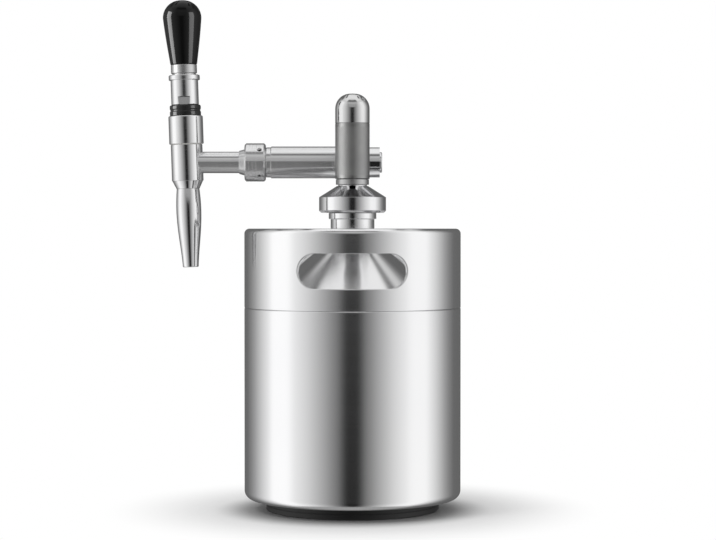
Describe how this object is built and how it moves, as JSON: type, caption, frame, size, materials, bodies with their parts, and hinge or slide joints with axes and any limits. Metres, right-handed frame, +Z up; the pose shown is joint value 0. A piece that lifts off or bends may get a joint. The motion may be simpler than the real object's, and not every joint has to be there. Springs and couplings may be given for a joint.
{
  "type": "nitro cold brew keg",
  "caption": "Steel drinks keg with hand holes and a rubber foot, a screw-on dispensing head with gas cartridge holder and relief valve, and a stout tap on an arm.",
  "frame": {"origin": "on the keg's axis at the floor, in the middle of the foot's underside", "axes": "+Z up along the keg's axis, the tap towards -X, the gas cartridge holder towards -Y"},
  "size_m": [0.2338, 0.17, 0.4002],
  "materials": {
    "brushed_shell": "fine circumferential brushing",
    "polished_steel": "polished",
    "satin_grip": "matt with fine knurling",
    "satin_steel": "satin",
    "cartridge_steel": "zinc plated",
    "black_handle": "glossy",
    "black_rubber": "matt",
    "pale_silicone": "satin",
    "brass_insert": "machined"
  },
  "bodies": {
    "keg": {"keg_body": "brushed_shell", "keg_dome": "polished_steel", "keg_collar": "brushed_shell", "keg_neck": "polished_steel", "foot_pad": "black_rubber"},
    "head": {"head_body": "polished_steel", "neck_gasket": "pale_silicone", "plug_ring": "black_rubber", "dip_tube": "polished_steel", "check_valve": "black_rubber", "gas_inlet": "polished_steel", "piercing_pin": "polished_steel", "cartridge_seal": "black_rubber", "shank": "polished_steel", "shank_sleeve": "polished_steel", "shank_ring": "polished_steel", "coupling_washer": "pale_silicone", "tail_piece": "polished_steel", "tap_body": "polished_steel", "bonnet_seal": "pale_silicone", "tap_bonnet": "polished_steel", "stem_seal": "black_rubber", "lever_pin": "polished_steel", "lever_boot": "black_rubber", "spout": "polished_steel", "restrictor_disc": "satin_steel", "spout_seal": "pale_silicone", "relief_body": "polished_steel", "relief_spring": "satin_steel"},
    "union_nut": {"union_nut": "polished_steel"},
    "cartridge": {"gas_cartridge": "cartridge_steel"},
    "holder": {"holder_sleeve": "satin_grip", "holder_cap": "polished_steel"},
    "coupling_nut": {"coupling_nut": "polished_steel"},
    "lever": {"lever_hub": "satin_steel", "crank_pin": "polished_steel", "lever_sleeve": "polished_steel", "grub_screw": "satin_steel", "lever_ferrule": "polished_steel", "handle_grip": "black_handle", "handle_insert": "brass_insert"},
    "stem": {"valve_stem": "polished_steel", "valve_washer": "black_rubber"},
    "button": {"relief_button": "satin_steel", "relief_seal": "black_rubber"}
  },
  "joints": [
    {"name": "head_lift", "type": "slide", "parent": "keg", "child": "head", "axis": [0, 0, 1], "range_m": [0, 0.235]},
    {"name": "union_nut_turn", "type": "hinge", "parent": "head", "child": "union_nut", "pos_m": [0, 0, 0.24], "axis": [0, 0, 1], "continuous": true},
    {"name": "cartridge_rise", "type": "slide", "parent": "head", "child": "cartridge", "axis": [0, 0, 1], "range_m": [0, 0.0091]},
    {"name": "holder_turn", "type": "hinge", "parent": "cartridge", "child": "holder", "pos_m": [0, -0.027, 0.29], "axis": [0, 0, 1], "range_deg": [0, 2160]},
    {"name": "coupling_nut_turn", "type": "hinge", "parent": "head", "child": "coupling_nut", "pos_m": [-0.0764, 0, 0.273], "axis": [-1, 0, 0], "continuous": true},
    {"name": "lever_tilt", "type": "hinge", "parent": "head", "child": "lever", "pos_m": [-0.131, 0, 0.30298], "axis": [0, -1, 0], "range_deg": [0, 24], "deforming": ["lever_boot"]},
    {"name": "stem_lift", "type": "slide", "parent": "head", "child": "stem", "axis": [-0.0332, 0, 0.9995], "range_m": [0, 0.0024]},
    {"name": "relief_press", "type": "slide", "parent": "head", "child": "button", "axis": [-1, 0, 0], "range_m": [0, 0.0015], "stiffness_N_per_m": 2000, "springref_m": -0.001, "deforming": ["relief_spring"]}
  ],
  "couplings": [
    {"joint": "stem_lift", "follows": "lever_tilt", "m_per_rad": 0.0055},
    {"joint": "cartridge_rise", "follows": "holder_turn", "m_per_rad": 0.00023873}
  ]
}
